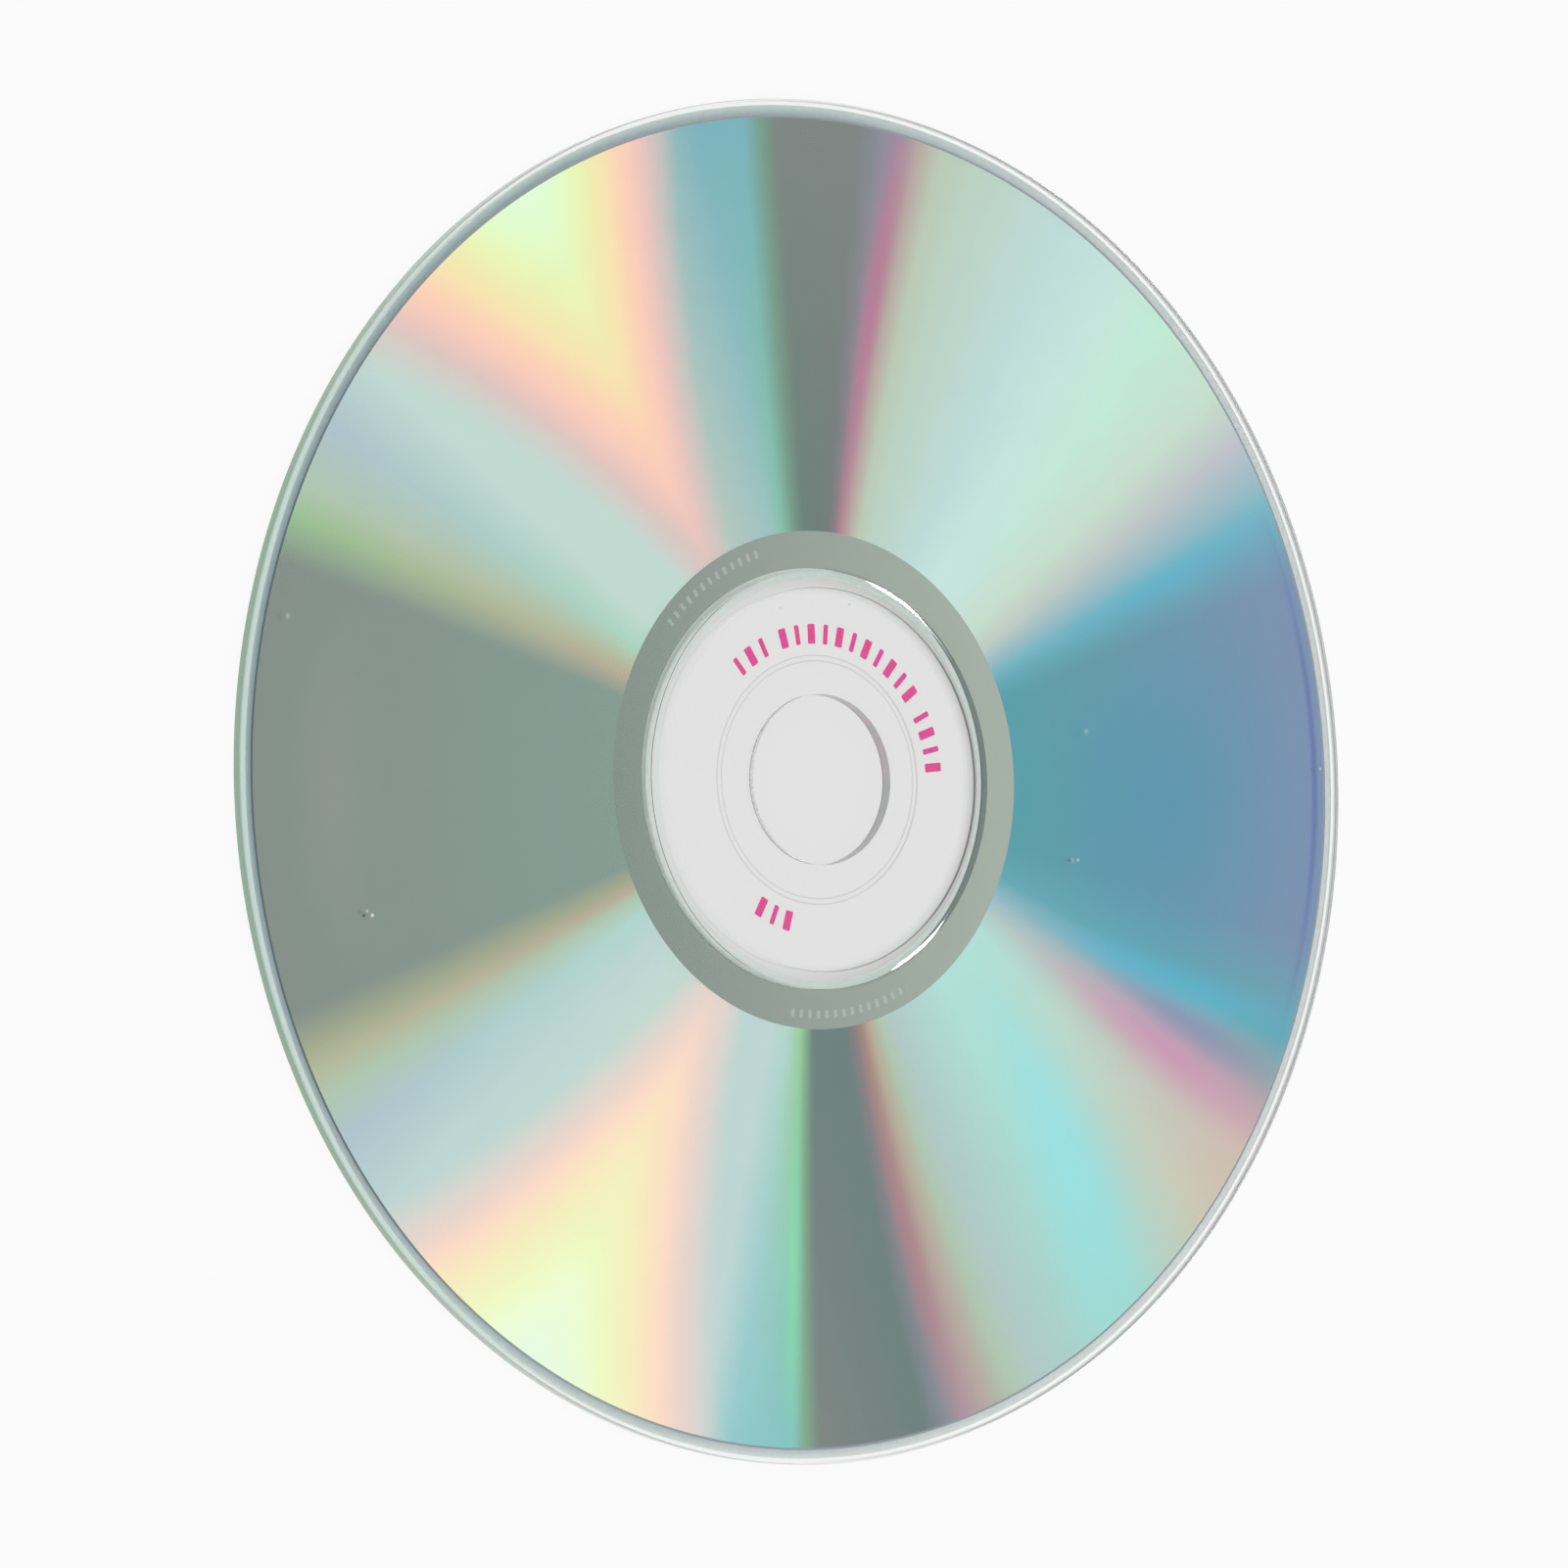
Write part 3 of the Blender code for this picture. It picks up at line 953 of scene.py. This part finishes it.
# The floor
# A plain pale light table of matt acrylic that the disc lies on. It has painted shade where the disc
# covers it, which shows only in the hole and through the clear hub, and a painted contact shadow close to
# the films, deeper at the right.
FLOOR_SIZE = 6.0
FLOOR_DROP = 0.00003
FLOOR_PALE = (0.97, 0.97, 0.97)
# Painted shade under the disc, and a painted contact shadow by the films' inner edges.
FLOOR_SHADE_UNDER_DISC = (0.77, 0.77, 0.77)
FLOOR_FILM_SHADOW_LEFT = (0.72, 0.72, 0.72)
FLOOR_FILM_SHADOW_RIGHT = (0.50, 0.50, 0.50)
FLOOR_LIT_FROM_BELOW = 0.9
SHADE_TURNS = 0.015
SHADE_FROM_RADIUS = 16.2
SHADE_FULL_RADIUS = 17.7
UNDER_DISC_UNTIL_RADIUS = 30.0
UNDER_DISC_GONE_RADIUS = 52.0


def floor_finish():
    """Matt pale acrylic, softly lit from below, with painted shade under the disc and a painted contact
    shadow greyest close to its films.
    """
    material, tree, shader = start_material("pale_light_table")
    x, y, _ = along_axes(tree, point_on_piece(tree))
    radius = millimetres_out(tree, x, y)
    to_the_right = spread(tree, x, -SHADE_TURNS, SHADE_TURNS)
    shade = mix_inks(tree, to_the_right, FLOOR_FILM_SHADOW_LEFT, FLOOR_FILM_SHADOW_RIGHT)
    film_shadow_share = spread(tree, radius, SHADE_FROM_RADIUS, SHADE_FULL_RADIUS, soft=True)
    uncovered = spread(tree, radius, UNDER_DISC_UNTIL_RADIUS, UNDER_DISC_GONE_RADIUS, soft=True)
    shaded_under_disc = mix_inks(tree, film_shadow_share, FLOOR_SHADE_UNDER_DISC, shade)
    tone = mix_inks(tree, uncovered, shaded_under_disc, FLOOR_PALE)
    share_reflected = 1.0 - FLOOR_LIT_FROM_BELOW
    tree.links.new(mix_inks(tree, share_reflected, BLACK, tone), shader.inputs["Base Color"])
    tree.links.new(tone, shader.inputs["Emission Color"])
    shader.inputs["Emission Strength"].default_value = FLOOR_LIT_FROM_BELOW
    shader.inputs["Roughness"].default_value = 1.0
    shader.inputs["Specular IOR Level"].default_value = 0.0
    return material


bpy.ops.mesh.primitive_plane_add(size=FLOOR_SIZE, location=(0.0, 0.0, -FLOOR_DROP))
floor = bpy.context.object
floor.name = "floor"
floor.data.materials.append(floor_finish())

# The light
# A white tent all round, dimmer towards the floor so that the clear edges show dark lines,
# and two small oval soft boxes behind the disc that glint on the outer slope of the stacking ring.
TENT_LIGHT = ((0.0, 0.45), (0.30, 0.75), (0.55, 1.0), (1.0, 1.0))
BOX_DISTANCE = 1.6
BOX_SIZE = (0.46, 0.26)
BOX_POWER = 5.5
BOX_DIRECTIONS = ((27.0, 18.0), (-27.0, 18.0))


def add_tent():
    """The world as a white tent.

    Each pair of TENT_LIGHT is a height, from the horizon to overhead, and the light there.
    """
    world = bpy.data.worlds.new("white_tent")
    bpy.context.scene.world = world
    world.use_nodes = True
    tree = world.node_tree
    direction = tree.nodes.new("ShaderNodeTexCoord").outputs["Generated"]
    _, _, height = along_axes(tree, direction)
    ramp = tree.nodes.new("ShaderNodeValToRGB")
    marks_on_ramp = ramp.color_ramp.elements
    while len(marks_on_ramp) < len(TENT_LIGHT):
        marks_on_ramp.new(0.5)
    for mark, (position, light) in zip(marks_on_ramp, TENT_LIGHT):
        mark.position = position
        mark.color = (light, light, light, 1.0)
    tree.links.new(height, ramp.inputs["Fac"])
    tree.links.new(ramp.outputs["Color"], tree.nodes["Background"].inputs["Color"])


def add_soft_box(number, azimuth, elevation):
    """One soft box that faces the disc's middle, from this direction in degrees."""
    light = bpy.data.lights.new(f"soft_box_{number}", "AREA")
    light.shape = "ELLIPSE"
    light.size, light.size_y = BOX_SIZE
    light.energy = BOX_POWER
    box = bpy.data.objects.new(light.name, light)
    bpy.context.scene.collection.objects.link(box)
    turned, raised = math.radians(azimuth), math.radians(elevation)
    box.location = (
        BOX_DISTANCE * math.cos(raised) * math.cos(turned),
        BOX_DISTANCE * math.cos(raised) * math.sin(turned),
        BOX_DISTANCE * math.sin(raised),
    )
    box.rotation_euler = box.location.to_track_quat("Z", "Y").to_euler()
    box.visible_diffuse = False
    box.visible_transmission = False


add_tent()
for number, (azimuth, elevation) in enumerate(BOX_DIRECTIONS):
    add_soft_box(number + 1, azimuth, elevation)
bpy.context.scene.view_settings.view_transform = "Standard"

# The camera
# A long lens about 0.6 m away on the -X side, looking down at the disc and turned a little
# about its own axis. The small shift puts the disc where the picture has it.
CAMERA_DISTANCE = 0.6064
CAMERA_TILT = math.radians(36.64)
CAMERA_ROLL = math.radians(3.59)
CAMERA_LENS = 158.1
CAMERA_SHIFT = (-0.01914, -0.00254)

back = (-math.sin(CAMERA_TILT), 0.0, math.cos(CAMERA_TILT))
level = (math.cos(CAMERA_TILT), 0.0, math.sin(CAMERA_TILT))
roll_cos, roll_sin = math.cos(CAMERA_ROLL), math.sin(CAMERA_ROLL)
camera_data = bpy.data.cameras.new("camera")
camera_data.lens = CAMERA_LENS
camera_data.shift_x, camera_data.shift_y = CAMERA_SHIFT
camera = bpy.data.objects.new("camera", camera_data)
bpy.context.scene.collection.objects.link(camera)
camera.matrix_world = Matrix((
    (roll_cos * level[0], roll_sin * level[0], back[0], back[0] * CAMERA_DISTANCE),
    (-roll_sin, roll_cos, 0.0, 0.0),
    (roll_cos * level[2], roll_sin * level[2], back[2], back[2] * CAMERA_DISTANCE),
    (0.0, 0.0, 0.0, 1.0),
))
bpy.context.scene.camera = camera
